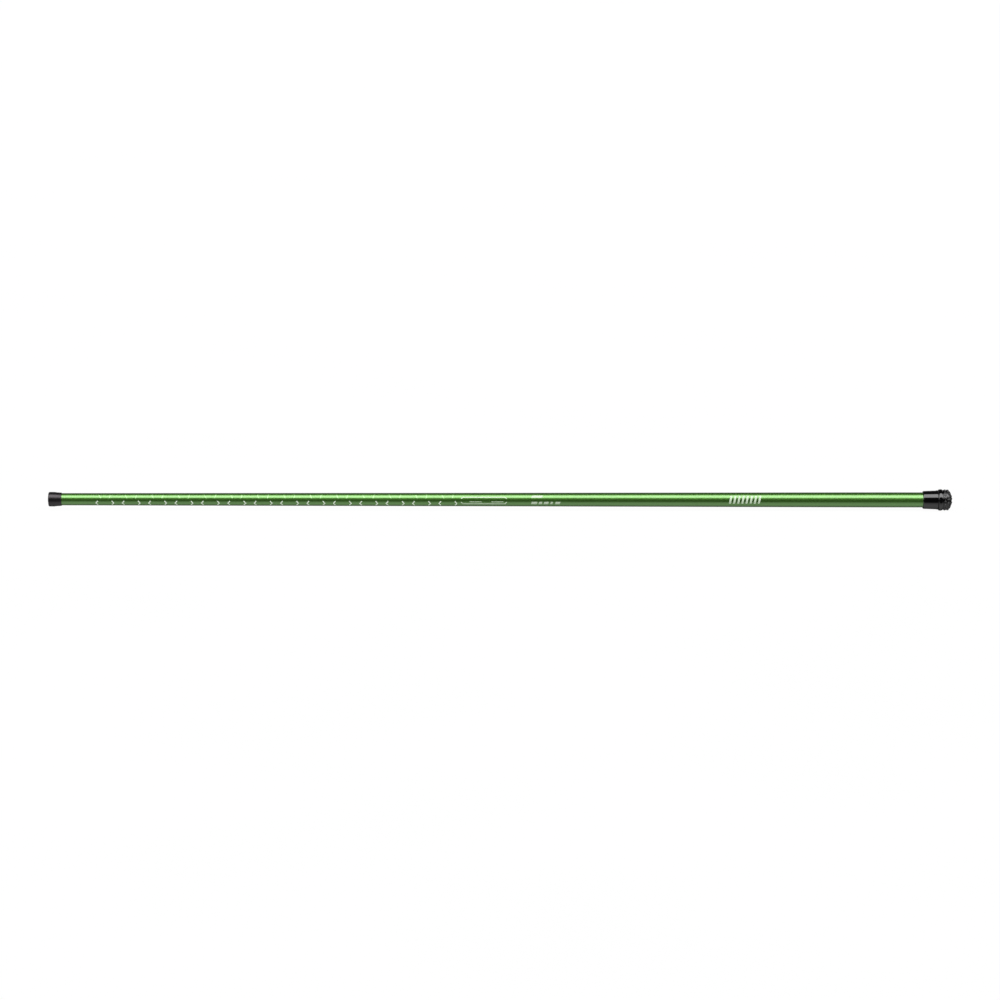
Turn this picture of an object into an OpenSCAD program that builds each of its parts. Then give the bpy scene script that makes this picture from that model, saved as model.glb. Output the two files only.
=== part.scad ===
// Telescopic fishing pole, closed for carrying: five nested tapered sections, a push-on tip cap
// and a screw plug in the butt. The pole lies along X, its axis on the X axis and +Z up.
// The origin is the centre of the butt's end face, and the tip points to -X.
// Every place along the pole is an X value in millimetres, so the tip's values are the lowest.

/* [Pole] */
// Overall length with every section pushed in and both ends closed
closed_length = 1140; // [1100:10:1200]
// Taper of every tube near its mouth: radius gained per millimetre towards the butt
taper = 0.00143; // [0.0013:0.00001:0.0015]
// Radial clearance of a section jammed in the mouth of the next one
joint_gap = 0.03; // [0.02:0.01:0.05]

/* [Butt section] */
// Outer diameter at the front mouth
mouth_d = 15.3; // [15.2:0.1:15.6]
// Outer diameter of the parallel land in front of the collar
land_d = 18.96; // [18.9:0.02:19.1]
// Length of the parallel land, where a rod rest or clamp holds the pole
land_length = 60; // [40:5:100]
// Outer diameter where the front taper meets the steeper rear one
mid_d = 16.88; // [16.8:0.02:17.0]
// Distance from the butt end to that change of taper
mid_from_butt = 595; // [500:5:700]
// Wall thickness of the butt section
butt_wall = 0.75; // [0.7:0.05:0.8]

/* [Inner sections] */
// Wall thickness of sections 2, 3 and 4
inner_walls = [0.62, 0.52, 0.42];
// How far each of sections 2 to 5 stays inside the next one when it is drawn out
overlaps = [110, 100, 90, 80];
// Diameter of the solid tip at its front end
tip_end_d = 0.84; // [0.8:0.02:1.0]

/* [Tip cap] */
// Length of the cap along the pole
cap_length = 17.6; // [16:0.2:20]
// Largest outer diameter, near the closed end
cap_d = 18.3; // [18:0.1:18.8]
// Outer diameter at the open rim
cap_rim_d = 16.8; // [16.6:0.1:17.2]

/* [Butt collar and plug] */
// Distance from the butt end to the collar's front edge
collar_front = 36.8; // [36:0.2:38]
// Outer diameter at the collar's front
collar_d = 22.4; // [22:0.1:23]
// Distance from the butt end to the face where collar and plug meet
plug_seat = 18; // [17.6:0.2:18.4]
// Outer diameter of the plug's rounded flange
flange_d = 27; // [26.6:0.1:27.4]
// Pitch of the plug's thread
thread_pitch = 2; // [2:1:2]
// Outer diameter of the rubber bumper, without its studs
bumper_d = 24.7; // [24:0.1:25]

/* [Hidden] */

$fn = 96;
snug = 0.02;              // clearance of a piece that is glued or squeezed in its place

green = "#3f8f35";
graphite = "#33373a";
gloss_black = "#141414";
rubber_black = "#202020";
seal_grey = "#3a3a3a";
foam_grey = "#555555";
winding_black = "#0e0e0e";
sleeve_red = "#b5302a";

// Ends of the nested tubes. Every inner section rests on the buffer pad at its rear.
cap_end = -closed_length;
cap_floor = cap_end + 2.5;
liner_t = 1.9;
rest_gap = 0.3;
butt_mouth = cap_floor + liner_t + rest_gap;
inner_mouths = [butt_mouth + 0.7, butt_mouth + 1.3, butt_mouth + 17.3];
inner_rear = -26;
tube_rear = -27;

// Radii of the butt section at the ends of its two tapers
mouth_r = mouth_d / 2;
mid_r = mid_d / 2;
land_r = land_d / 2;
land_front = -collar_front - land_length;
seat_r = 9.3;             // turned-down rear end that the collar is glued on

// Bore radius at the mouth, and outer radius at the rear, of each tube from the butt inwards
bore_1 = mouth_r - butt_wall;
rear_2 = bore_1 + taper * overlaps[0] - joint_gap;
bore_2 = rear_2 - taper * (inner_rear - inner_mouths[0]) - inner_walls[0];
rear_3 = bore_2 + taper * overlaps[1] - joint_gap;
bore_3 = rear_3 - taper * (inner_rear - inner_mouths[1]) - inner_walls[1];
rear_4 = bore_3 + taper * overlaps[2] - joint_gap;
bore_4 = rear_4 - taper * (inner_rear - inner_mouths[2]) - inner_walls[2];
rear_5 = bore_4 + taper * overlaps[3] - joint_gap;

winding_t = 0.14;
winding_length = 9;

// Thread of the plug: root and crest radii, and the clearance of the collar's groove
thread_root = 9.3;
thread_crest = 9.95;
thread_gap = 0.15;
thread_turns = 3;
plug_front = -25.8;
thread_front = plug_front + 0.9;

// Plug and bumper: the boss inside the bumper, the cup for the buffer pad, the squeezed seal
bumper_front = -11.3;
boss_r = 7.6;
boss_end = -3.8;
barb = 0.8;               // how far the boss's barb stands proud
pad_r = 7.5;
cup_floor = -19.6;
seal_t = 0.8;
seal_mid_r = 10.8;
stud_height = 0.7;

// ---------------------------------------------------------------- shared shapes

// A solid of revolution about X from points [x, radius]
module lathe(points) {
    rotate([0, 90, 0])
        rotate_extrude()
            polygon([for (p = points) [p[1], p[0]]]);
}

// Points [x, radius] of an oval about [cx, cr], rx long and rr high, from angle a0 to a1; angle 0
// points outwards and 90 to +X
function oval(cx, cr, rx, rr, a0, a1, n) =
    [for (i = [0 : n]) let (a = a0 + (a1 - a0) * i / n) [cx + rx * sin(a), cr + rr * cos(a)]];

function arc(cx, cr, r, a0, a1, n) = oval(cx, cr, r, r, a0, a1, n);

// Outer radius of an inner tube at x, from its radius at the rear
function inner_outer_r(rear_r, x) = rear_r - taper * (inner_rear - x);

// A tapered tube from its mouth to the buffer pad, with its mouth's outer edge eased
module inner_tube(rear_r, wall, mouth) {
    front_r = inner_outer_r(rear_r, mouth);
    ease = min(0.2, wall / 3);
    lathe([[mouth, front_r - wall], [mouth, front_r - ease], [mouth + ease, front_r],
           [inner_rear - ease, rear_r], [inner_rear, rear_r - ease],
           [inner_rear, rear_r - wall]]);
}

// A thread winding on a tube's mouth: its inner face follows the tube, its ends are feathered
module mouth_winding(mouth, mouth_outer_r) {
    start = mouth + 0.5;
    finish = start + winding_length;
    feather = 0.6;
    lathe([[start, mouth_outer_r + taper * (start - mouth)],
           [start + feather, mouth_outer_r + winding_t],
           [finish - feather, mouth_outer_r + winding_t + taper * winding_length],
           [finish, mouth_outer_r + taper * (finish - mouth)]]);
}

// A right-hand helical ridge about X: trapezoid from r_in to r_out, that many turns from x0
module helix_ridge(x0, turns, r_in, r_out, base_w, crest_w) {
    steps = 24;
    rings = turns * steps;
    section = [[-base_w / 2, r_in], [-crest_w / 2, r_out], [crest_w / 2, r_out], [base_w / 2, r_in]];
    points = [for (i = [0 : rings], p = section)
        let (a = 360 * i / steps, x = x0 + thread_pitch * i / steps + p[0])
        [x, -p[1] * sin(a), p[1] * cos(a)]];
    sides = [for (i = [0 : rings - 1], j = [0 : 3])
        let (a = 4 * i + j, b = 4 * i + (j + 1) % 4)
        [a, b, b + 4, a + 4]];
    last = 4 * rings;
    polyhedron(points, concat([[3, 2, 1, 0]], sides, [[last, last + 1, last + 2, last + 3]]));
}

// ---------------------------------------------------------------- butt section

module butt_section() {
    color(green)
        difference() {
            lathe([[butt_mouth, 0], [butt_mouth, mouth_r - 0.2], [butt_mouth + 0.2, mouth_r],
                   [-mid_from_butt, mid_r], [land_front, land_r], [-collar_front, land_r],
                   [-collar_front, seat_r], [tube_rear, seat_r], [tube_rear, 0]]);
            lathe([[butt_mouth - 1, 0], [butt_mouth - 1, bore_1], [butt_mouth, bore_1],
                   [-mid_from_butt, mid_r - butt_wall], [land_front, land_r - butt_wall],
                   [tube_rear + 1, land_r - butt_wall], [tube_rear + 1, 0]]);
        }
}

module butt_mouth_winding() {
    color(winding_black) mouth_winding(butt_mouth, mouth_r);
}

// Glued sleeve with a rounded front lip, a bell-shaped rear and the plug's female thread
module butt_collar() {
    front = -collar_front;
    rear = -plug_seat;
    front_r = collar_d / 2;
    waist_r = 11.75;
    bell_r = 12.3;
    bell_length = 1.2;
    bore_r = 9.5;
    lip = 1.4;
    edge = 0.2;
    groove_w = 1.9;
    groove_floor_w = 0.8;
    color(gloss_black)
        difference() {
            lathe(concat(
                [[front, 0], [front, land_r + edge]],
                arc(front + lip, front_r - lip, lip, -90, 0, 6),
                [[rear - bell_length - 2, waist_r], [rear - bell_length, waist_r + edge],
                 [rear - edge, bell_r], [rear, bell_r - edge / 2], [rear, 0]]));
            lathe([[front - 1, 0], [front - 1, seat_r + snug], [tube_rear + edge, seat_r + snug],
                   [tube_rear + edge, bore_r], [rear + 1, bore_r], [rear + 1, 0]]);
            helix_ridge(thread_front, thread_turns + 2, bore_r - 0.3, thread_crest + thread_gap,
                        groove_w, groove_floor_w);
        }
}

// ---------------------------------------------------------------- inner sections

module section_2() {
    color(graphite) inner_tube(rear_2, inner_walls[0], inner_mouths[0]);
}

module section_2_mouth_winding() {
    color(winding_black) mouth_winding(inner_mouths[0], inner_outer_r(rear_2, inner_mouths[0]));
}

module section_3() {
    color(graphite) inner_tube(rear_3, inner_walls[1], inner_mouths[1]);
}

module section_3_mouth_winding() {
    color(winding_black) mouth_winding(inner_mouths[1], inner_outer_r(rear_3, inner_mouths[1]));
}

module section_4() {
    color(graphite) inner_tube(rear_4, inner_walls[2], inner_mouths[2]);
}

module section_4_mouth_winding() {
    color(winding_black) mouth_winding(inner_mouths[2], inner_outer_r(rear_4, inner_mouths[2]));
}

// ---------------------------------------------------------------- tip and line connector

connector_front = butt_mouth + 2.2;
connector_length = 13.6;
connector_r = 1.5;
connector_stop_r = 2.1;
stop_length = 3;
tip_front = connector_front + 5;

// Solid tapered tip; only its rear has the taper that jams in section 4
module tip_section() {
    joint_front = inner_rear - overlaps[3];
    color(graphite)
        lathe([[tip_front, 0], [tip_front, tip_end_d / 2],
               [joint_front, rear_5 - taper * overlaps[3]], [inner_rear - 0.1, rear_5],
               [inner_rear, rear_5 - 0.1], [inner_rear, 0]]);
}

// Shank glued on the tip, with a hooked slot for the line's loop and a stop for the sleeve
module connector_body() {
    rear = connector_front + connector_length;
    round_r = 0.7;
    slot_x = connector_front + 1.5;
    slot_w = 0.9;
    slot_z = -0.1;
    pocket = 0.6;
    across = 2 * connector_stop_r + 1;
    color(gloss_black)
        difference() {
            lathe(concat([[connector_front, 0]],
                arc(connector_front + round_r, connector_r - round_r, round_r, -90, 0, 5),
                [[rear - stop_length, connector_r], [rear - stop_length, connector_stop_r],
                 [rear - 0.5, connector_stop_r], [rear, connector_stop_r - round_r], [rear, 0]]));
            // socket for the tip
            translate([tip_front, 0, 0])
                rotate([0, 90, 0])
                    cylinder(r = tip_end_d / 2 + 0.06, h = connector_length);
            // slot across the shank, and the pocket in front of it that holds the loop
            translate([slot_x, -across / 2, slot_z])
                cube([slot_w, across, across]);
            translate([slot_x - pocket, -across / 2, slot_z])
                cube([slot_w, across, 0.7]);
        }
}

// Tube that slides over the slot and locks the loop
module connector_sleeve() {
    front = connector_front + 0.8;
    rear = front + 5.6;
    bore_r = connector_r + 0.05;
    outer_r = 2.15;
    ease = 0.2;
    color(sleeve_red)
        lathe([[front, bore_r], [front, outer_r - ease], [front + ease, outer_r],
               [rear - ease, outer_r], [rear, outer_r - ease], [rear, bore_r]]);
}

// ---------------------------------------------------------------- tip cap

// Soft cap: domed end, fullest just behind it, drawn in towards a chamfered rim
module tip_cap() {
    rim = cap_end + cap_length;
    dome = 1.1;
    corner = 1.4;
    full_r = cap_d / 2;
    rim_r = cap_rim_d / 2;
    bore_r = mouth_r + winding_t + 0.05;
    color(rubber_black)
        lathe(concat(
            [[cap_floor, 0], [cap_end, 0], [cap_end + dome * 0.35, full_r * 0.5]],
            arc(cap_end + dome + corner, full_r - corner, corner, -70, 0, 6),
            [[cap_end + 8, full_r], [cap_end + 12, rim_r + 0.25], [rim - 0.8, rim_r],
             [rim, rim_r - 0.45], [rim, bore_r], [cap_floor, bore_r]]));
}

// Foam disc in the bottom of the cap; it stops the tubes rattling
module tip_cap_liner() {
    color(foam_grey)
        lathe([[cap_floor, 0], [cap_floor, mouth_r], [cap_floor + liner_t - 0.3, mouth_r],
               [cap_floor + liner_t, mouth_r - 0.3], [cap_floor + liner_t, 0]]);
}

// ---------------------------------------------------------------- butt plug

// The boss as [x, radius] from its root to its end; the bumper's socket has the same shape
function boss_points(root) =
    [[root, boss_r], [boss_end - 3.4, boss_r], [boss_end - 3, boss_r + barb],
     [boss_end - 1.6, boss_r + barb], [boss_end, boss_r - barb / 2], [boss_end, 0]];

// Threaded plug: hollow spigot, broad crowned flange and the boss inside the bumper
module butt_plug() {
    flange_r = flange_d / 2;
    flange_front = -plug_seat + seal_t;
    flange_rear = bumper_front - 0.4;
    crown = 1.3;              // radius that the flange loses from its crest to its edges
    neck_r = 11.9;
    cup_r = pad_r + 0.2;
    chamfer = 0.5;
    ridge_w = 1.3;
    ridge_crest_w = 0.5;
    color(gloss_black)
        difference() {
            union() {
                lathe(concat(
                    [[plug_front, 0], [plug_front, thread_root - chamfer],
                     [plug_front + chamfer, thread_root], [flange_front, thread_root]],
                    oval((flange_front + flange_rear) / 2, flange_r - crown,
                         (flange_rear - flange_front) / 2, crown, -90, 90, 16),
                    [[flange_rear, neck_r], [bumper_front, neck_r]],
                    boss_points(bumper_front)));
                helix_ridge(thread_front, thread_turns, thread_root - 0.25, thread_crest,
                            ridge_w, ridge_crest_w);
            }
            lathe([[plug_front - 1, 0], [plug_front - 1, cup_r], [cup_floor, cup_r], [cup_floor, 0]]);
        }
}

// Rubber ring squeezed between the collar's end and the plug's flange
module plug_seal() {
    color(seal_grey)
        lathe(arc(-plug_seat + seal_t / 2, seal_mid_r, seal_t / 2 - snug, 0, 337.5, 15));
}

// Cushion in the plug's cup that the sections' rear ends rest on
module buffer_pad() {
    front = inner_rear + rest_gap;
    ease = 0.3;
    color(foam_grey)
        lathe([[front, 0], [front, pad_r - ease], [front + ease, pad_r], [cup_floor, pad_r],
               [cup_floor, 0]]);
}

// One stud of the bumper's tread, standing on the point [x, r] with its axis tilted from the radius
module stud(x, r, tilt, turn) {
    sink = 0.5;
    foot_r = 1.65;
    top_r = 1;
    rotate([turn, 0, 0])
        translate([x, 0, r])
            rotate([0, tilt, 0])
                translate([0, 0, -sink])
                    cylinder(r1 = foot_r, r2 = top_r, h = sink + stud_height, $fn = 24);
}

// A ring of studs; tilt 0 points outwards and 90 along +X
module stud_ring(count, x, r, tilt, first = 0) {
    for (i = [0 : count - 1]) stud(x, r, tilt, first + 360 * i / count);
}

// Rubber bumper pushed on the plug's boss: a blunt dome with rings of anti-slip studs
module rubber_bumper() {
    r = bumper_d / 2;
    face = -stud_height;
    face_r = 5.6;
    ease = 0.4;
    shoulder = 2.4;           // rounding between the side and the dome's slope
    side_end = -5.8;
    nose = 3.5;               // rounding between the slope and the face
    color(rubber_black)
        union() {
            difference() {
                lathe(concat(
                    [[bumper_front, 0], [bumper_front, r - ease], [bumper_front + ease, r]],
                    arc(side_end, r - shoulder, shoulder, 0, 45, 5),
                    arc(face - nose, face_r, nose, 45, 90, 5),
                    [[face, 0]]));
                // socket for the boss and its barb
                lathe(concat([[bumper_front - 1, 0]], boss_points(bumper_front - 1)));
            }
            stud_ring(1, face, 0, 90);
            stud_ring(6, face, 4.6, 90);
            stud_ring(12, -2.75, 9.65, 54, 15);
            stud_ring(18, -5.3, r - 0.05, 12);
            stud_ring(18, -9, r, 0, 10);
        }
}

butt_section();
butt_mouth_winding();
butt_collar();
section_2();
section_2_mouth_winding();
section_3();
section_3_mouth_winding();
section_4();
section_4_mouth_winding();
tip_section();
connector_body();
connector_sleeve();
tip_cap();
tip_cap_liner();
butt_plug();
plug_seal();
buffer_pad();
rubber_bumper();
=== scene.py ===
"""Looks of a closed telescopic fishing pole: turned pieces, print, finishes, light and camera."""

import math

import bpy
import numpy as np
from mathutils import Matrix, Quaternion, Vector


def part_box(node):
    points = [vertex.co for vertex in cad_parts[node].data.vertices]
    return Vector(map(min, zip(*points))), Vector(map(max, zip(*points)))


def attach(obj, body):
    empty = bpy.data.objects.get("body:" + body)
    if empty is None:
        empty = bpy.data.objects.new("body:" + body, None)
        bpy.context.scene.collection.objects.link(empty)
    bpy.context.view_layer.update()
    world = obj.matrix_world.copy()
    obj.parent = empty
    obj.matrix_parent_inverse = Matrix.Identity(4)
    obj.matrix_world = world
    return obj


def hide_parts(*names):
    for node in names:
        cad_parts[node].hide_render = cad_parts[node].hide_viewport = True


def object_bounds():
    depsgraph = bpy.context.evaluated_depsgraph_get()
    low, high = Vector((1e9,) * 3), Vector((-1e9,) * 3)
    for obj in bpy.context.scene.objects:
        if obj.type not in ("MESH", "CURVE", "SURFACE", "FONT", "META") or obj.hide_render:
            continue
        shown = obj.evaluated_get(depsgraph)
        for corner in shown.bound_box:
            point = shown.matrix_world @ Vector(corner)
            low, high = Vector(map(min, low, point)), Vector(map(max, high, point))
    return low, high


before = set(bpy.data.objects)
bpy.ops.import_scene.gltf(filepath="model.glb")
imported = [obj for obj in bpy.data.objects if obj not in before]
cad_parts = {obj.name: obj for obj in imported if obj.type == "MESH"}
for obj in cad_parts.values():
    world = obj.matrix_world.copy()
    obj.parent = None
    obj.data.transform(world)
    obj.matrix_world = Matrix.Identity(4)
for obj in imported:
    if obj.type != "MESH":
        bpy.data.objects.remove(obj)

CAD_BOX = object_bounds()
MM = 0.001
TURN = 2 * math.pi

# Values that the CAD has too, and that the frame doesn't hold
THREAD_PITCH = 2 * MM
THREAD_START = -24.9 * MM
THREAD_TURNS = 3
THREAD_ROOT = 9.3 * MM
THREAD_CREST = 9.95 * MM
THREAD_GAP = 0.15 * MM
SEAL_SPACE = 0.8 * MM    # between the collar's end and the plug's flange
BOSS_RADIUS = 7.6 * MM
BOSS_BARB = 0.8 * MM
STUD_HEIGHT = 0.7 * MM


# ---------------------------------------------------------------- reading the frame

def span(node):
    """A CAD node's lowest and highest x."""
    low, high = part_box(node)
    return low.x, high.x


def radius(node):
    """A CAD node's largest radius about the pole's axis."""
    return max(math.hypot(v.co.y, v.co.z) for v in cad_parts[node].data.vertices)


def wall(node, side):
    """A function of x: the radius of a node's faces that look outwards (side 1) or inwards (-1)."""
    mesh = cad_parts[node].data
    reach = {}
    for face in mesh.polygons:
        outwards = Vector((0, face.center.y, face.center.z)).normalized()
        if side * face.normal.dot(outwards) < 0.5:
            continue
        for i in face.vertices:
            point = mesh.vertices[i].co
            x = round(point.x, 6)
            reach[x] = max(reach.get(x, 0), math.hypot(point.y, point.z))
    xs = sorted(reach)
    rs = [reach[x] for x in xs]
    return lambda x: float(np.interp(x, xs, rs))


# ---------------------------------------------------------------- turned shapes

def steps(start, end, length):
    """Evenly spaced values from start to end, about length apart, both ends included."""
    count = max(1, round(abs(end - start) / length))
    return [start + (end - start) * i / count for i in range(count + 1)]


def oval(middle_x, middle_r, half_length, height, start, end, length=0.15 * MM):
    """Points (x, r) of an oval; its angle in degrees is 0 away from the axis and 90 towards +X."""
    count = max(2, math.ceil(half_length * math.radians(abs(end - start)) / length))
    angles = [math.radians(start + (end - start) * k / count) for k in range(count + 1)]
    return [(middle_x + half_length * math.sin(a), middle_r + height * math.cos(a)) for a in angles]


def arc(middle_x, middle_r, size, start, end):
    return oval(middle_x, middle_r, size, size, start, end)


def rounded(corners, count=5):
    """A closed outline from corners (x, r), or (x, r, radius) where the corner is rounded."""
    places = [np.array(corner[:2], float) for corner in corners]
    points = []
    for i, corner in enumerate(corners):
        here = places[i]
        size = corner[2] if len(corner) > 2 else 0
        if not size:
            points.append(tuple(here))
            continue
        before = places[i - 1] - here
        after = places[(i + 1) % len(places)] - here
        room = min(np.linalg.norm(before), np.linalg.norm(after))
        before = before / np.linalg.norm(before)
        after = after / np.linalg.norm(after)
        half = math.acos(np.clip(before @ after, -1, 1)) / 2
        reach = min(size / math.tan(half), room * 0.9)
        size = reach * math.tan(half)
        centre = here + (before + after) / np.linalg.norm(before + after) * size / math.sin(half)
        first = here + before * reach - centre
        last = here + after * reach - centre
        swing = math.pi - 2 * half
        for k in range(count + 1):
            share = first * math.sin((1 - k / count) * swing) + last * math.sin(k / count * swing)
            points.append(tuple(centre + share / math.sin(swing)))
    return points


def dense(outline, length):
    """The closed outline with points added, so that neighbours are at most length apart."""
    points = []
    for here, there in zip(outline, outline[1:] + outline[:1]):
        gap = math.dist(here, there)
        count = max(1, math.ceil(gap / length))
        points += [tuple(np.array(here) + (np.array(there) - np.array(here)) * k / count)
                   for k in range(count)]
    return points


def mesh_piece(name, vertices, faces, crease):
    """A smooth-shaded mesh object, sharp where faces meet at more than crease degrees."""
    mesh = bpy.data.meshes.new(name)
    mesh.from_pydata(vertices, [], faces)
    mesh.shade_smooth()
    mesh.set_sharp_from_angle(angle=math.radians(crease))
    piece = bpy.data.objects.new(name, mesh)
    bpy.context.scene.collection.objects.link(piece)
    return piece


def outward(profile):
    """Unit normals (x, r) of a closed profile that runs anticlockwise, at its points."""
    ahead = np.roll(profile, -1, 0) - profile
    ahead /= np.maximum(np.linalg.norm(ahead, axis=1, keepdims=True), 1e-12)
    tangent = ahead + np.roll(ahead, 1, 0)
    tangent /= np.maximum(np.linalg.norm(tangent, axis=1, keepdims=True), 1e-12)
    return np.stack([tangent[:, 1], -tangent[:, 0]], 1)


def turned(name, outline, segments=128, push=None, crease=40):
    """The solid of revolution about X of a closed outline of (x, r), which may touch the axis.

    push, where given, takes the rings' x, r and angle as arrays, and returns how far each point
    moves out of the surface. The angle is 0 at the top and a quarter turn at -Y."""
    profile = np.array(outline, float)
    x, r = profile[:, 0], profile[:, 1]
    if np.sum(x * np.roll(r, -1) - np.roll(x, -1) * r) < 0:
        profile = profile[::-1]
    normal = outward(profile)
    angle = np.arange(segments) * TURN / segments
    xs, angles = np.meshgrid(profile[:, 0], angle, indexing="ij")
    rs = np.repeat(profile[:, 1:2], segments, 1)
    if push:
        moved = push(xs, rs, angles)
        xs = xs + moved * normal[:, :1]
        rs = rs + moved * normal[:, 1:]
    vertices, rings = [], []
    for i, (_, ring_r) in enumerate(profile):
        first = len(vertices)
        if ring_r < 1e-7:
            vertices.append((xs[i, 0], 0.0, 0.0))
            rings.append([first] * segments)
            continue
        ring = np.stack([xs[i], -rs[i] * np.sin(angle), rs[i] * np.cos(angle)], 1)
        vertices += [tuple(v) for v in ring]
        rings.append(list(range(first, first + segments)))
    faces = []
    for here, there in zip(rings, rings[1:] + rings[:1]):
        for k in range(segments):
            j = (k + 1) % segments
            face = [here[k], there[k], there[j], here[j]]
            face = [v for n, v in enumerate(face) if v != face[n - 1]]
            if len(set(face)) > 2:
                faces.append(face)
    return mesh_piece(name, vertices, faces, crease)


def tube_outline(node, ease, spacing=12 * MM):
    """A CAD tube's outline, its edges rounded: rearwards on the outside, and back in the bore."""
    mouth, rear = span(node)
    outer, bore = wall(node, 1), wall(node, -1)
    along = steps(mouth + 2 * ease, rear - 2 * ease, spacing)
    return rounded(
        [(mouth, outer(along[0]), ease)] + [(x, outer(x)) for x in along]
        + [(rear, outer(along[-1]), ease), (rear, bore(rear), ease / 2)]
        + [(x, bore(x)) for x in reversed(along)] + [(mouth, bore(mouth), ease / 2)])


def finished(piece, material, body, slot, *nodes):
    """Gives a piece its material and its body, and hides the CAD nodes that it stands for. The slot
    is not used.
    """
    piece.data.materials.append(material)
    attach(piece, body)
    if nodes:
        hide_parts(*nodes)
    return piece


# ---------------------------------------------------------------- materials

class Finish:
    """A material's nodes, with short calls for the ones used here. Lengths are metres at rest."""

    def __init__(self, name, **sockets):
        self.material = bpy.data.materials.new(name)
        self.material.use_nodes = True
        self.tree = self.material.node_tree
        self.shader = self.tree.nodes["Principled BSDF"]
        self.place = self.add("ShaderNodeTexCoord").outputs["Object"]
        for key, value in sockets.items():
            self.set(key.replace("_", " "), value)

    def add(self, kind, sockets=None, **settings):
        """A new node with its settings; its sockets get values, or links to other sockets."""
        node = self.tree.nodes.new(kind)
        for key, value in settings.items():
            setattr(node, key, value)
        for key, value in (sockets or {}).items():
            self.join(node.inputs[key], value)
        return node

    def join(self, socket, value):
        if isinstance(value, bpy.types.NodeSocket):
            self.tree.links.new(value, socket)
        else:
            socket.default_value = value

    def set(self, key, value):
        """Sets or links one of the shader's sockets."""
        if isinstance(value, tuple) and len(value) == 3:
            value = (*value, 1)
        self.join(self.shader.inputs[key], value)

    def stretched(self, stretch):
        return self.add("ShaderNodeMapping", {"Vector": self.place, "Scale": stretch}).outputs[0]

    def noise(self, size, detail=3, stretch=(1, 1, 1)):
        """Soft noise from 0 to 1, its blobs about size across; stretch under 1 draws them out."""
        sockets = {"Vector": self.stretched(stretch), "Scale": 1 / size, "Detail": detail}
        return self.add("ShaderNodeTexNoise", sockets).outputs[0]

    def cells(self, size, output="Distance"):
        sockets = {"Vector": self.place, "Scale": 1 / size}
        return self.add("ShaderNodeTexVoronoi", sockets).outputs[output]

    def math(self, operation, a, b=0.0):
        return self.add("ShaderNodeMath", {0: a, 1: b}, operation=operation).outputs[0]

    def between(self, share, low, high, start=0.0, end=1.0):
        """A number that goes from low to high as share goes from start to end."""
        sockets = {"Value": share, "From Min": start, "From Max": end,
                   "To Min": low, "To Max": high}
        return self.add("ShaderNodeMapRange", sockets).outputs[0]

    def blend(self, share, first, second, start=0.3, end=0.7):
        """A colour that goes from first to second as share goes from start to end."""
        ramp = self.add("ShaderNodeValToRGB", {"Fac": share})
        low, high = ramp.color_ramp.elements
        low.position, low.color = start, (*first, 1)
        high.position, high.color = end, (*second, 1)
        return ramp.outputs[0]

    def multiply(self, colour, share):
        node = self.add("ShaderNodeMix", {0: 1.0}, data_type="RGBA", blend_type="MULTIPLY")
        self.join(node.inputs[6], colour)
        self.join(node.inputs[7], share)
        return node.outputs[2]

    def bump(self, height, depth, below=None):
        """A normal from a height of 0 to 1 that stands for depth, on top of another normal."""
        sockets = {"Height": height, "Distance": depth, "Strength": 1.0}
        if below:
            sockets["Normal"] = below
        return self.add("ShaderNodeBump", sockets).outputs[0]

    def turns(self, pitch):
        """A helix about the pole's axis: 0 to 1 across each turn."""
        split = self.add("ShaderNodeSeparateXYZ", {"Vector": self.place}).outputs
        round_axis = self.math("DIVIDE", self.math("ARCTAN2", split["Y"], split["Z"]), TURN)
        along = self.math("DIVIDE", split["X"], pitch)
        return self.math("FRACT", self.math("ADD", along, round_axis))


def metallic_lacquer(name, dark, light):
    """Metallic paint: fine flakes and a slow drift of tone under a clear gloss coat."""
    f = Finish(name, Metallic=0.9, Coat_Weight=1.0, Coat_Roughness=0.03, Coat_IOR=1.56)
    tone = f.blend(f.noise(60 * MM, 2, (0.2, 1, 1)), dark, light)
    flakes = f.between(f.cells(0.16 * MM, "Color"), 0.75, 1.25)
    f.set("Base Color", f.multiply(tone, flakes))
    f.set("Roughness", f.between(f.noise(3 * MM), 0.36, 0.42))
    f.set("Normal", f.bump(f.noise(0.2 * MM, 1), 0.001 * MM))
    f.set("Coat Normal", f.bump(f.noise(2.5 * MM, 2), 0.002 * MM))
    return f.material


def printed(name, thin, full):
    """Screen-printed ink: nearly white, thinner in places, so that a little green shows through."""
    f = Finish(name, IOR=1.5)
    f.set("Base Color", f.blend(f.noise(0.5 * MM, 4), thin, full, 0.25, 0.5))
    f.set("Roughness", f.between(f.noise(1 * MM), 0.35, 0.5))
    f.set("Normal", f.bump(f.noise(0.15 * MM, 2), 0.004 * MM))
    return f.material


def graphite():
    """Wound blank: fibres along the pole and the faint ridges of its shrink tape, lacquered."""
    f = Finish("graphite", Metallic=0.25, Coat_Weight=0.8, Coat_Roughness=0.08, Coat_IOR=1.5)
    fibres = f.noise(0.25 * MM, 4, (0.012, 1, 1))
    f.set("Base Color", f.blend(fibres, (0.010, 0.011, 0.012), (0.045, 0.048, 0.052), 0.35, 0.7))
    f.set("Roughness", f.between(fibres, 0.28, 0.45))
    tape = f.turns(3.2 * MM)
    ridge = f.between(f.math("PINGPONG", tape, 0.5), 0.0, 1.0, 0.0, 0.06)
    under = f.bump(fibres, 0.004 * MM)
    f.set("Normal", f.bump(ridge, 0.012 * MM, under))
    f.set("Coat Normal", f.bump(ridge, 0.010 * MM))
    return f.material


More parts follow.
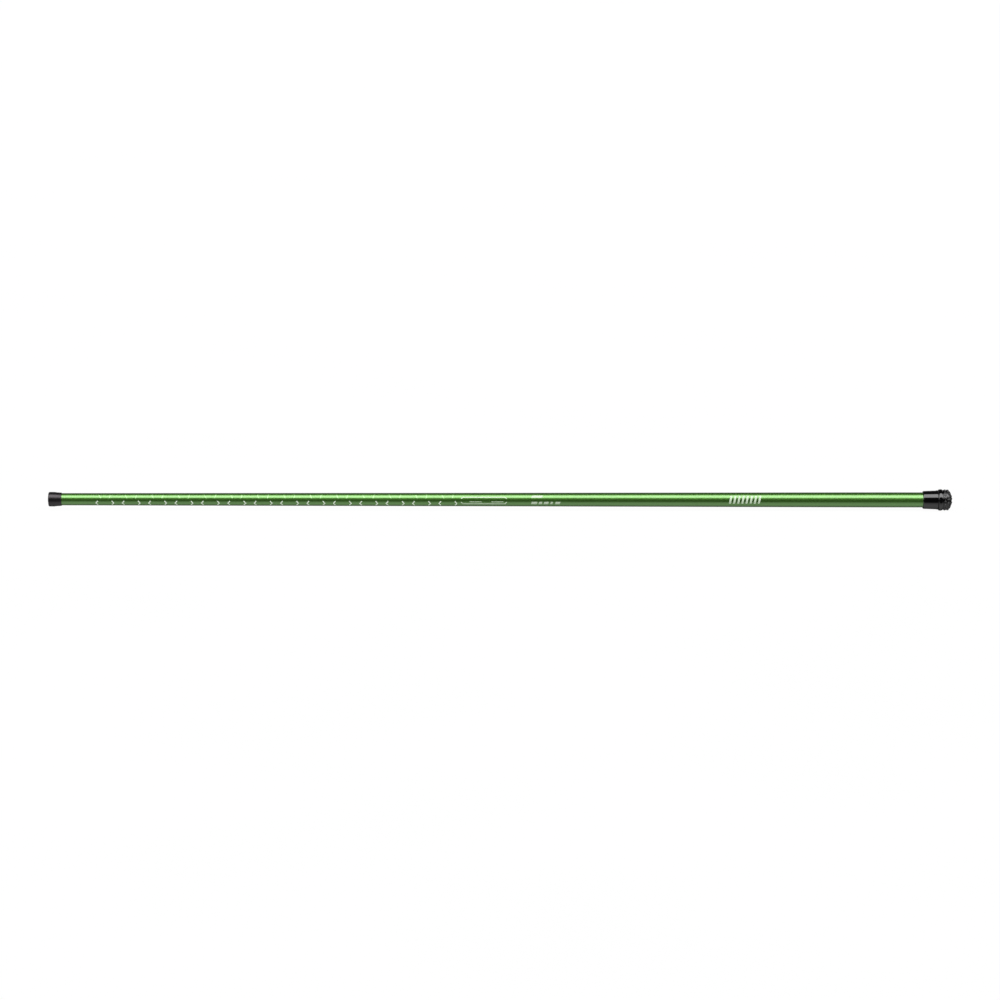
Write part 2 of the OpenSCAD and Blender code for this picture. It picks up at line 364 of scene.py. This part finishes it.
def winding_thread():
    """Black whipping thread, its twist just visible under thin varnish."""
    f = Finish("winding_thread", Coat_Weight=0.9, Coat_Roughness=0.1, Coat_IOR=1.5)
    fibre = f.noise(0.1 * MM, 3, (1, 0.25, 0.25))
    f.set("Base Color", f.blend(fibre, (0.004, 0.004, 0.005), (0.020, 0.020, 0.023)))
    f.set("Roughness", f.between(fibre, 0.35, 0.6))
    f.set("Normal", f.bump(fibre, 0.006 * MM))
    return f.material


def gloss_black():
    """Polished black plastic with a faint flow pattern and hairline scratches round it."""
    f = Finish("gloss_black", IOR=1.57)
    flow = f.noise(6 * MM, 3)
    f.set("Base Color", f.blend(flow, (0.0006, 0.0006, 0.0007), (0.0014, 0.0014, 0.0015)))
    scratches = f.noise(0.08 * MM, 2, (1, 0.03, 0.03))
    f.set("Roughness", f.between(f.noise(1.5 * MM, 4), 0.04, 0.09))
    f.set("Normal", f.bump(scratches, 0.0006 * MM, f.bump(f.noise(4 * MM, 1), 0.004 * MM)))
    return f.material


def moulded(name, dark, light, rough, index=1.45, tint=(1.0, 1.0, 1.0)):
    """Matt moulded plastic or rubber: mottled colour, a fine etched texture and soft dents."""
    f = Finish(name, IOR=index, Specular_Tint=tint)
    mottle = f.noise(2.5 * MM, 4)
    f.set("Base Color", f.blend(mottle, dark, light))
    f.set("Roughness", f.between(f.noise(0.8 * MM, 3), rough - 0.06, rough + 0.06))
    etched = f.bump(f.cells(0.22 * MM), 0.012 * MM)
    f.set("Normal", f.bump(f.noise(1.2 * MM, 2), 0.02 * MM, etched))
    return f.material


def foam():
    """Closed-cell foam: small sunk cells, each darker towards its middle as painted shade, with
    lighter walls between them.
    """
    f = Finish("foam", IOR=1.4)
    cell_depth_and_shade = f.cells(0.45 * MM)
    # painted shade: the colour darkens towards each cell's sunk middle, where the bump sinks too
    f.set("Base Color", f.blend(cell_depth_and_shade, (0.035, 0.036, 0.04), (0.11, 0.11, 0.12), 0.1, 0.6))
    f.set("Roughness", f.between(cell_depth_and_shade, 0.95, 0.8))
    f.set("Normal", f.bump(cell_depth_and_shade, 0.12 * MM))
    return f.material


# ---------------------------------------------------------------- tubes and windings

NESTED = ((2, "second"), (3, "third"), (4, "fourth"))    # each section and its body
EASE = 0.2 * MM              # rounding of the butt tube's edges
INNER_EASE = 0.14 * MM
TIP_EASE = 0.15 * MM
WINDING_PITCH = 0.3 * MM
WINDING_DEPTH = 0.05 * MM
WINDING_FEATHER = 0.6 * MM   # length of the ends that slope down to the tube
WINDING_EDGE = 0.02 * MM     # how far those ends stand proud of it


def butt_tube(lacquer, bare):
    """The butt section: lacquered outside, bare in the bore."""
    node = "butt_section"
    mouth, rear = span(node)
    collar_front = span("butt_collar")[0]
    outer, bore = wall(node, 1), wall(node, -1)
    along = steps(mouth + 2 * EASE, collar_front, 10 * MM)
    corners = [(mouth, outer(along[0]), EASE)] + [(x, outer(x)) for x in along]
    corners += [(collar_front, outer(rear)), (rear, outer(rear), EASE)]
    corners += [(rear, bore(rear), EASE / 2)] + [(x, bore(x)) for x in reversed(along)]
    corners += [(mouth, bore(mouth), EASE / 2)]
    piece = turned("butt_tube", rounded(corners), segments=160)
    finished(piece, lacquer, "butt", "green_lacquer", node)
    piece.data.materials.append(bare)
    for face in piece.data.polygons:
        off_axis = Vector((0, face.center.y, face.center.z)).normalized()
        if face.normal.dot(off_axis) < -0.5:     # looks inwards
            face.material_index = 1


def inner_tubes(material):
    """Sections 2 to 4, one inside the other."""
    for number, body in NESTED:
        node = f"section_{number}"
        piece = turned(f"blank_{number}", tube_outline(node, INNER_EASE), segments=112)
        finished(piece, material, body, "graphite", node)


def tip_blank(material):
    """The solid tip, a fine cone that thickens over its last stretch to jam in section 4."""
    node = "tip_section"
    front, rear = span(node)
    outer = wall(node, 1)
    along = steps(front + 2 * TIP_EASE, rear - 2 * TIP_EASE, 12 * MM)
    corners = [(front, 0), (front, outer(along[0]), TIP_EASE)] + [(x, outer(x)) for x in along]
    corners += [(rear, outer(along[-1]), TIP_EASE), (rear, 0)]
    piece = turned("tip_blank", rounded(corners), segments=64)
    finished(piece, material, "tip", "graphite", node)


def winding(name, node, body, material):
    """Turns of thread side by side, wound in a helix, its ends feathered down to the tube."""
    start, end = span(node)
    under, over = wall(node, -1), wall(node, 1)
    feather = WINDING_FEATHER
    inside, outside = under(start), over(start + feather)
    slope = (over(end - feather) - outside) / (end - start - 2 * feather)
    along = steps(start, end, WINDING_PITCH / 6)

    def surface(x):
        full = outside + slope * (x - start - feather) - WINDING_DEPTH / 2
        low = inside + slope * (x - start) + WINDING_EDGE
        share = min(1, (x - start) / feather, (end - x) / feather)
        return low + (full - low) * max(0, share) ** 0.5

    def threads(x, r, angle):
        strand = np.abs(np.sin(math.pi * (x / WINDING_PITCH + angle / TURN)))
        return np.where(r > surface(start) - 0.001 * MM, WINDING_DEPTH * (strand - 0.5), 0)

    outline = [(x, surface(x)) for x in along] + [(end, under(end)), (start, under(start))]
    piece = turned(name, outline, segments=96, push=threads)
    finished(piece, material, body, "winding", node)


def windings(material):
    winding("butt_whipping", "butt_mouth_winding", "butt", material)
    for number, body in NESTED:
        winding(f"whipping_{number}", f"section_{number}_mouth_winding", body, material)


# ---------------------------------------------------------------- print on the butt section

INK = 0.04 * MM          # how far the ink stands proud of the lacquer
INK_STEP = 0.9 * MM      # largest step along a stroke
PATTERN_START = -1078.9 * MM
PATTERN_PITCH = 33.25 * MM
PATTERN_REPEATS = 14
CHEVRON_GAP = 22.5 * MM  # between the points of a pair
CHEVRON_RISE = 22        # degrees round the pole, from a chevron's point to an arm's end
CHEVRON_REACH = 2.5 * MM
CHEVRON_LEVEL = -25      # degrees above the horizontal plane, on the printed side
STROKE = 1.25 * MM
TICK_STROKE = 1.2 * MM
TICK_RISE = (43, 83)     # degrees above the chevrons, where a tick starts and ends
TICKS = ((6.2 * MM, 3.6 * MM), (16.5 * MM, 18.2 * MM))   # a pair's x, low and high ends
LABEL_ENDS = (-618.8 * MM, -561.2 * MM)
LABEL_CUT = 2.5 * MM     # along x, of the frame's bevelled corners
LABEL_SIDES = ((31, 21), (-27, -10))                     # degrees, of a side and of its ends
LABEL_BARS = ((-608.2, -592.8), (-580.7, -565.6))        # mm
LABEL_BAR_LEVEL = -8
LABEL_BAR_STROKE = 0.9 * MM
EMBLEM_TOP = (-530.8 * MM, -517.0 * MM, 27, 48)          # the broad bar's ends and levels
EMBLEM_BARS = ((-530.6, -523.4), (-521.2, -517.2), (-514.8, -509.2), (-506.6, -503.8),
               (-500.4, -494.6))                         # mm
EMBLEM_LEVELS = (-29, -7)
WORD_BARS = steps(-281.6 * MM, -245.2 * MM, 5.2 * MM)
WORD_BAR_WIDTH = 2.6 * MM
WORD_LEVELS = (-20, 45)


class Sheet:
    """Collects printed marks, each a thin closed slab that follows the butt section's surface."""

    def __init__(self):
        self.surface = wall("butt_section", 1)
        self.vertices, self.faces = [], []

    def place(self, x, level, lift):
        r = self.surface(x) + lift
        return (x, -r * math.cos(level), r * math.sin(level))

    def slab(self, grid):
        """A slab over a grid of (x, level), from just inside the surface to the ink's top."""
        rows, columns = len(grid), len(grid[0])
        first = len(self.vertices)
        for lift in (INK, -INK):
            self.vertices += [self.place(x, level, lift) for row in grid for x, level in row]
        under = rows * columns

        def at(i, j, deep=0):
            return first + i * columns + j + deep * under

        for i in range(rows - 1):
            for j in range(columns - 1):
                top = (at(i, j), at(i, j + 1), at(i + 1, j + 1), at(i + 1, j))
                self.faces += [top, tuple(v + under for v in reversed(top))]
        edge = [(0, j) for j in range(columns)] + [(i, columns - 1) for i in range(1, rows)]
        edge += [(rows - 1, j) for j in range(columns - 2, -1, -1)]
        edge += [(i, 0) for i in range(rows - 2, 0, -1)]
        for here, there in zip(edge, edge[1:] + edge[:1]):
            self.faces.append((at(*here), at(*here, 1), at(*there, 1), at(*there)))

    def stroke(self, points, width, across=4):
        """A stroke of a pen along points of (x, degrees), mitred at its bends."""
        r = self.surface(points[0][0])
        line = [np.array((x, math.radians(level) * r)) for x, level in points]
        sides = []
        for i, here in enumerate(line):
            before = here - line[i - 1] if i else line[1] - here
            after = line[i + 1] - here if i + 1 < len(line) else before
            before, after = (v / np.linalg.norm(v) for v in (before, after))
            square = np.array((-(before + after)[1], (before + after)[0]))
            square /= np.linalg.norm(square)
            sides.append(square / (square @ np.array((-after[1], after[0]))) * width / 2)
        grid = []
        for i in range(len(line) - 1):
            count = max(1, math.ceil(np.linalg.norm(line[i + 1] - line[i]) / INK_STEP))
            for k in range(count + (i + 2 == len(line))):
                middle = line[i] + (line[i + 1] - line[i]) * k / count
                side = sides[i] + (sides[i + 1] - sides[i]) * k / count
                row = [middle + side * (1 - 2 * j / across) for j in range(across + 1)]
                grid.append([(x, s / r) for x, s in row])
        self.slab(grid)

    def bar(self, start, end, low, high, lean):
        """A bar from start to end along x and low to high in degrees, whose top leans along +X."""
        grid = []
        for level in steps(low, high, 6):
            shift = lean * (level - low) / (high - low)
            grid.append([(x + shift, math.radians(level)) for x in steps(start, end, 1.5 * MM)])
        self.slab(grid)

    def piece(self, name, material):
        finished(mesh_piece(name, self.vertices, self.faces, 30), material, "butt", "print_white")


def chevrons(name, level, material):
    """Pairs of chevrons pointing away from each other, along the pole at that level."""
    sheet = Sheet()
    for k in range(PATTERN_REPEATS):
        for point, side in ((0, 1), (CHEVRON_GAP, -1)):
            x = PATTERN_START + k * PATTERN_PITCH + point
            arm = x + side * CHEVRON_REACH
            upper, lower = (arm, level + CHEVRON_RISE), (arm, level - CHEVRON_RISE)
            sheet.stroke([upper, (x, level), lower], STROKE)
    sheet.piece(name, material)


def ticks(name, level, material):
    """Pairs of short strokes above the chevrons, leaning away from each other like an open V."""
    sheet = Sheet()
    low, high = (level + rise for rise in TICK_RISE)
    for k in range(PATTERN_REPEATS):
        start = PATTERN_START + k * PATTERN_PITCH
        (left_low, left_high), (right_low, right_high) = TICKS
        sheet.stroke([(start + left_high, high), (start + left_low, low)], TICK_STROKE)
        sheet.stroke([(start + right_low, low), (start + right_high, high)], TICK_STROKE)
    sheet.piece(name, material)


def label(material):
    """A long bracketed frame, open at its ends, with two plain bars in it."""
    sheet = Sheet()
    left, right = LABEL_ENDS
    for side, end in LABEL_SIDES:
        corners = [(left + LABEL_CUT, side), (right - LABEL_CUT, side)]
        sheet.stroke([(left, end), *corners, (right, end)], STROKE)
    for start, end in LABEL_BARS:
        ends = [(start * MM, LABEL_BAR_LEVEL), (end * MM, LABEL_BAR_LEVEL)]
        sheet.stroke(ends, LABEL_BAR_STROKE)
    sheet.piece("print_label", material)


def emblem(material):
    """A plain mark: one broad slanted bar over a row of short ones."""
    sheet = Sheet()
    sheet.bar(*EMBLEM_TOP, lean=1.8 * MM)
    for start, end in EMBLEM_BARS:
        sheet.bar(start * MM, end * MM, *EMBLEM_LEVELS, lean=0.8 * MM)
    sheet.piece("print_emblem", material)


def word_bars(material):
    """A plain mark in the place of a word: a row of slanted bars."""
    sheet = Sheet()
    for start in WORD_BARS:
        sheet.bar(start, start + WORD_BAR_WIDTH, *WORD_LEVELS, lean=2 * MM)
    sheet.piece("print_bars", material)


def printing(white, painted_shade_white, pale):
    for side, turn in (("front", 0), ("back", 180)):
        chevrons(f"print_chevrons_{side}", CHEVRON_LEVEL + turn, white)
        ticks(f"print_ticks_{side}", CHEVRON_LEVEL + turn, pale)
    # the label, emblem and word marks take the darker copy of the white ink, which is painted shade
    label(painted_shade_white)
    emblem(painted_shade_white)
    word_bars(painted_shade_white)


# ---------------------------------------------------------------- collar and plug

def thread_height(x, angle, flank, crest):
    """The helical ridge's height there, 0 to 1, and its turn; flank and crest are its widths."""
    turn = (x - THREAD_START) / THREAD_PITCH - angle / TURN
    middle = np.round(turn)
    away = np.abs(turn - middle) * THREAD_PITCH
    height = np.clip((flank / 2 - away) / ((flank - crest) / 2), 0, 1)
    return height, middle + angle / TURN


def collar(material):
    """The collar: rounded front lip, slight flare to a bell at the rear, female thread inside."""
    node = "butt_collar"
    front, rear = span(node)
    tube_rear = span("butt_section")[1]
    seat = wall("butt_section", 1)(tube_rear)
    bell = radius(node)
    gap = 0.2 * MM
    bore = THREAD_ROOT + gap
    step = tube_rear + gap
    inside = dense([(rear, bore), (step, bore)], 0.1 * MM)[:-1]
    corners = [
        (front, seat), (front, bell - 1.1 * MM, 1.4 * MM),
        (rear - 3.2 * MM, bell - 0.55 * MM, 3 * MM), (rear - 1.3 * MM, bell - 0.35 * MM, 1 * MM),
        (rear - 0.35 * MM, bell, 0.25 * MM), (rear, bell - 0.15 * MM, 0.12 * MM)]
    corners += [(x, r) for x, r in inside if x >= step]
    corners += [(step, seat)]
    groove = THREAD_CREST + THREAD_GAP - bore

    def cut(x, r, angle):
        height, _ = thread_height(x, angle, flank=1.9 * MM, crest=0.8 * MM)
        threaded = (x > tube_rear + 2 * gap) & (x < rear - 0.1 * MM)
        in_bore = threaded & (np.abs(r - bore) < 0.01 * MM)
        return np.where(in_bore, -groove * height, 0)

    piece = turned("collar", rounded(corners), segments=144, push=cut, crease=35)
    finished(piece, material, "butt", "gloss_black", node)


def plug(material):
    """The screw plug: a hollow spigot with a male thread, the rounded flange and the boss."""
    node = "butt_plug"
    front, boss_end = span(node)
    flange = radius(node)
    seat = span("butt_collar")[1]
    cup_floor = span("buffer_pad")[1]
    cup = wall("buffer_pad", 1)(cup_floor) + 0.2 * MM
    bumper_front = span("rubber_bumper")[0]
    flange_front, flange_rear = seat + SEAL_SPACE, bumper_front - 0.4 * MM
    crown = 1.3 * MM
    neck = flange - 1.6 * MM
    spigot = [(x, THREAD_ROOT) for x in steps(front + 0.6 * MM, seat - 0.3 * MM, 0.1 * MM)]
    corners = [(cup_floor, 0), (cup_floor, cup, 0.3 * MM), (front, cup, 0.2 * MM),
               (front, THREAD_ROOT - 0.5 * MM, 0.1 * MM), *spigot,
               (seat - 0.2 * MM, THREAD_ROOT), (flange_front, THREAD_ROOT),
               *oval((flange_front + flange_rear) / 2, flange - crown,
                     (flange_rear - flange_front) / 2, crown, -90, 90),
               (flange_rear, neck), (bumper_front, neck), *boss_outline(boss_end, bumper_front)]
    tall = THREAD_CREST - THREAD_ROOT

    def ridge(x, r, angle):
        height, turn = thread_height(x, angle, flank=1.35 * MM, crest=0.5 * MM)
        fade = np.clip(np.minimum(turn + 0.05, THREAD_TURNS + 0.05 - turn) * 12, 0, 1)
        threaded = (x > front + 0.2 * MM) & (x < seat - 0.25 * MM)
        on_spigot = threaded & (np.abs(r - THREAD_ROOT) < 0.01 * MM)
        return np.where(on_spigot, tall * height * fade, 0)

    piece = turned("screw_plug", rounded(corners), segments=144, push=ridge, crease=35)
    finished(piece, material, "plug", "gloss_black", node)


def boss_outline(boss_end, root):
    """The boss's outline with its barb, from its root to the axis at its end."""
    barb = BOSS_RADIUS + BOSS_BARB
    return [(root, BOSS_RADIUS), (boss_end - 3.4 * MM, BOSS_RADIUS),
            (boss_end - 3 * MM, barb, 0.2 * MM), (boss_end - 1.6 * MM, barb, 0.3 * MM),
            (boss_end, BOSS_RADIUS - BOSS_BARB / 2, 0.2 * MM), (boss_end, 0)]


def stud_places(outer, face):
    """Middle of each stud on the bumper's surface: (x, r, angle). A ring is its number of studs, x,
    r and the first stud's angle in degrees."""
    rings = [(1, face, 0, 0), (6, face, 4.6 * MM, 0), (12, face - 2.05 * MM, outer - 2.7 * MM, 15),
             (18, face - 4.6 * MM, outer - 0.05 * MM, 0), (18, face - 8.3 * MM, outer, 10)]
    return [(x, r, math.radians(first) + TURN * k / count)
            for count, x, r, first in rings for k in range(count)]


def bumper(material):
    """The rubber bumper: a blunt dome pushed over the boss, with rings of rounded studs."""
    node = "rubber_bumper"
    front, back = span(node)
    face = back - STUD_HEIGHT
    outer = radius(node) - STUD_HEIGHT
    socket = reversed(boss_outline(span("butt_plug")[1], front))
    shoulder, nose = 2.4 * MM, 3.5 * MM
    corners = [*socket, (front, outer, 0.4 * MM),
               *arc(face - 5.1 * MM, outer - shoulder, shoulder, 0, 45),
               *arc(face - nose, 5.6 * MM, nose, 45, 90), (face, 0)]
    outline = dense(rounded(corners, 10), 0.19 * MM)
    places = stud_places(outer, face)
    stud_foot, stud_flank = 1.45 * MM, 0.55 * MM

    def studs(x, r, angle):
        """Full height near a stud's middle, then a soft flank down to its foot."""
        height = np.zeros_like(x)
        for stud_x, stud_r, stud_angle in places:
            near = (x - stud_x) ** 2 + r ** 2 + stud_r ** 2
            away = np.sqrt(np.maximum(near - 2 * r * stud_r * np.cos(angle - stud_angle), 0))
            share = np.clip((stud_foot - away) / stud_flank, 0, 1)
            height = np.maximum(height, share * share * (3 - 2 * share))
        return height * STUD_HEIGHT

    piece = turned("bumper", outline, segments=360, push=studs, crease=50)
    finished(piece, material, "plug", "bumper_rubber", node)


def pad(material):
    """The foam buffer at the bottom of the plug's cup, its face a little uneven."""
    node = "buffer_pad"
    front, back = span(node)
    outer = radius(node)
    corners = [(front, 0), (front, outer, 0.5 * MM), (back, outer), (back, 0)]

    def dimples(x, r, angle):
        waves = np.sin(9 * angle + 900 * r) * np.sin(2100 * r + 2)
        depth = 0.04 * MM * (1 + waves) * np.clip(r / (1 * MM), 0, 1)
        return np.where(x < front + 0.1 * MM, -depth, 0)

    piece = turned("buffer", dense(rounded(corners), 0.4 * MM), segments=96, push=dimples)
    finished(piece, material, "buffer", "foam", node)


# ---------------------------------------------------------------- tip cap and line connector

def cap(material):
    """The tip cap: shallow domed end, fullest just behind it, drawn in to a chamfered rim."""
    node = "tip_cap"
    front, rim = span(node)
    full = radius(node)
    floor = span("tip_cap_liner")[0]
    bore = wall(node, -1)(rim - 1 * MM)
    corners = [(front, 0), (front + 0.4 * MM, full * 0.5, 8 * MM),
               (front + 1.1 * MM, full - 0.35 * MM, 1.1 * MM), (front + 2.6 * MM, full, 2 * MM),
               (front + 8 * MM, full, 6 * MM), (front + 12 * MM, full - 0.5 * MM, 4 * MM),
               (rim - 0.8 * MM, full - 0.75 * MM, 0.5 * MM), (rim, full - 1.2 * MM, 0.15 * MM),
               (rim, bore, 0.1 * MM), (floor, bore, 0.3 * MM), (floor, 0)]
    piece = turned("end_cap", dense(rounded(corners, 8), 1.2 * MM), segments=144)
    finished(piece, material, "cap", "cap_rubber", node)


def liner(material):
    """The foam disc in the bottom of the cap."""
    node = "tip_cap_liner"
    front, back = span(node)
    outer = radius(node)
    corners = [(front, 0), (front, outer), (back, outer, 0.35 * MM), (back, 0)]
    piece = turned("cap_liner", dense(rounded(corners), 0.5 * MM), segments=96)
    finished(piece, material, "cap", "foam", node)


def sleeve(material):
    """The connector's sliding sleeve, with grip rings round its middle."""
    node = "connector_sleeve"
    front, rear = span(node)
    outer, bore = radius(node), wall(node, -1)(rear)
    rings = []
    for x in steps(front + 1.2 * MM, rear - 1.2 * MM, 0.8 * MM):
        rings += [(x - 0.18 * MM, outer, 0.05 * MM), (x, outer - 0.14 * MM, 0.06 * MM),
                  (x + 0.18 * MM, outer, 0.05 * MM)]
    edge = 0.22 * MM
    corners = [(front, bore), (front, outer, edge), *rings, (rear, outer, edge), (rear, bore)]
    piece = turned("lock_sleeve", rounded(corners), segments=72, crease=50)
    finished(piece, material, "sleeve", "connector_red", node)


# ---------------------------------------------------------------- light, floor and camera

VIEW_ELEVATION = math.radians(12)
VIEW_ROLL = math.radians(0.046)
VIEW_LENS = 140
SENSOR = 36
VIEW_WIDTH = 1261.5 * MM   # what the picture spans at the pole's distance
VIEW_TARGET = Vector((-569.8 * MM, 0, -0.55 * MM))

# The studio's light as (angle, radiance), from long soft boxes beside the pole. The angle is in
# degrees above the horizon on the camera's side, so past 90 is behind the pole.
GLOW_SCALE = 8.0
GLOW = ((-180, 0.05), (-140, 0.08), (-112, 0.3), (-90, 0.7), (-60, 0.98), (-45, 0.84), (-27, 0.5),
        (-22, 0.03), (38, 0.02), (46, 5.1), (83, 5.1), (90, 0.04), (150, 0.04), (156, 0.3),
        (172, 0.3), (180, 0.05))


def glow(nodes, links):
    """The socket of a colour that follows GLOW by the direction's height."""
    direction = nodes.new("ShaderNodeTexCoord").outputs["Generated"]
    split = nodes.new("ShaderNodeSeparateXYZ")
    links.new(direction, split.inputs[0])
    towards = nodes.new("ShaderNodeMath")
    towards.operation = "MULTIPLY"
    towards.inputs[1].default_value = -1
    links.new(split.outputs["Y"], towards.inputs[0])
    height = nodes.new("ShaderNodeMath")
    height.operation = "ARCTAN2"
    links.new(split.outputs["Z"], height.inputs[0])
    links.new(towards.outputs[0], height.inputs[1])
    share = nodes.new("ShaderNodeMapRange")
    share.inputs["From Min"].default_value = -math.pi
    share.inputs["From Max"].default_value = math.pi
    links.new(height.outputs[0], share.inputs["Value"])
    ramp = nodes.new("ShaderNodeValToRGB")
    stops = ramp.color_ramp.elements
    while len(stops) < len(GLOW):
        stops.new(0.5)
    for stop, (angle, light) in zip(stops, GLOW):
        stop.position = (angle + 180) / 360
        stop.color = (*[light / GLOW_SCALE] * 3, 1)
    links.new(share.outputs[0], ramp.inputs[0])
    return ramp.outputs[0]


def studio():
    """The soft boxes all round, in reflections and as light. The camera sees a white backdrop."""
    world = bpy.data.worlds.new("studio")
    bpy.context.scene.world = world
    world.use_nodes = True
    nodes, links = world.node_tree.nodes, world.node_tree.links
    nodes.clear()
    boxes = nodes.new("ShaderNodeBackground")
    boxes.inputs["Strength"].default_value = GLOW_SCALE
    links.new(glow(nodes, links), boxes.inputs["Color"])
    backdrop = nodes.new("ShaderNodeBackground")
    backdrop.inputs["Color"].default_value = (1, 1, 1, 1)
    seen = nodes.new("ShaderNodeLightPath")
    mix = nodes.new("ShaderNodeMixShader")
    links.new(seen.outputs["Is Camera Ray"], mix.inputs[0])
    links.new(boxes.outputs[0], mix.inputs[1])
    links.new(backdrop.outputs[0], mix.inputs[2])
    output = nodes.new("ShaderNodeOutputWorld")
    links.new(mix.outputs[0], output.inputs["Surface"])


def floor():
    """A wide pale table, lit from below, just under the flange. It isn't mirrored in the pole."""
    half = 30.0
    z = CAD_BOX[0][2]
    mesh = bpy.data.meshes.new("floor")
    mesh.from_pydata([(-half, -half, z), (half, -half, z), (half, half, z), (-half, half, z)],
                     [], [(0, 1, 2, 3)])
    plane = bpy.data.objects.new("floor", mesh)
    bpy.context.scene.collection.objects.link(plane)
    plane.visible_glossy = False
    f = Finish("floor", Roughness=0.9, IOR=1.2, Emission_Strength=0.965)
    f.set("Emission Color", (1.0, 1.0, 1.0))
    f.set("Base Color", f.blend(f.noise(400 * MM, 2), (0.014, 0.014, 0.014), (0.017, 0.017, 0.017)))
    plane.data.materials.append(f.material)


def camera():
    """A long lens from the front and a little above, aimed square at the middle of the pole."""
    data = bpy.data.cameras.new("camera")
    data.lens = VIEW_LENS
    data.sensor_width = SENSOR
    data.clip_end = 200
    distance = VIEW_WIDTH * VIEW_LENS / SENSOR
    eye = bpy.data.objects.new("camera", data)
    back = Vector((0, -math.cos(VIEW_ELEVATION), math.sin(VIEW_ELEVATION)))
    eye.location = VIEW_TARGET + back * distance
    eye.rotation_mode = "QUATERNION"
    roll = Quaternion((0, 0, 1), VIEW_ROLL)
    eye.rotation_quaternion = (-back).to_track_quat("-Z", "Y") @ roll
    bpy.context.scene.collection.objects.link(eye)
    bpy.context.scene.camera = eye


# ---------------------------------------------------------------- everything together

def dress(node, material):
    """Puts a material on a CAD node that is shown as it is."""
    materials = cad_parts[node].data.materials
    materials.clear()
    materials.append(material)


def build():
    """Every piece, with its material."""
    lacquer = metallic_lacquer("green_lacquer", (0.071, 0.194, 0.031), (0.080, 0.217, 0.037))
    pale = metallic_lacquer("print_pale", (0.150, 0.320, 0.100), (0.170, 0.350, 0.120))
    bare = graphite()
    white = printed("print_white", (0.42, 0.55, 0.38), (0.62, 0.70, 0.58))
    # painted shade: a darker copy of the white ink, so that the marks under the soft boxes don't
    # burn out
    painted_shade_white = printed("print_soft_white", (0.26, 0.37, 0.23), (0.40, 0.49, 0.36))
    thread, black, soft = winding_thread(), gloss_black(), foam()
    butt_tube(lacquer, bare)
    printing(white, painted_shade_white, pale)
    inner_tubes(bare)
    tip_blank(bare)
    windings(thread)
    collar(black)
    plug(black)
    bumper(moulded("bumper_rubber", (0.0012, 0.0012, 0.0013), (0.0028, 0.0028, 0.0030), 0.18, 1.55))
    pad(soft)
    warm = (1.0, 0.92, 0.97)
    cap(moulded("cap_rubber", (0.0020, 0.0018, 0.0020), (0.0042, 0.0038, 0.0042), 0.34, 1.48, warm))
    liner(soft)
    sleeve(moulded("connector_red", (0.30, 0.016, 0.012), (0.40, 0.024, 0.018), 0.34))
    plastic = moulded("connector_black", (0.008, 0.008, 0.009), (0.02, 0.02, 0.022), 0.35)
    dress("connector_body", plastic)
    dress("plug_seal", moulded("seal_rubber", (0.02, 0.02, 0.021), (0.035, 0.035, 0.036), 0.5))


build()
studio()
floor()
camera()
bpy.context.scene.view_settings.view_transform = "Standard"
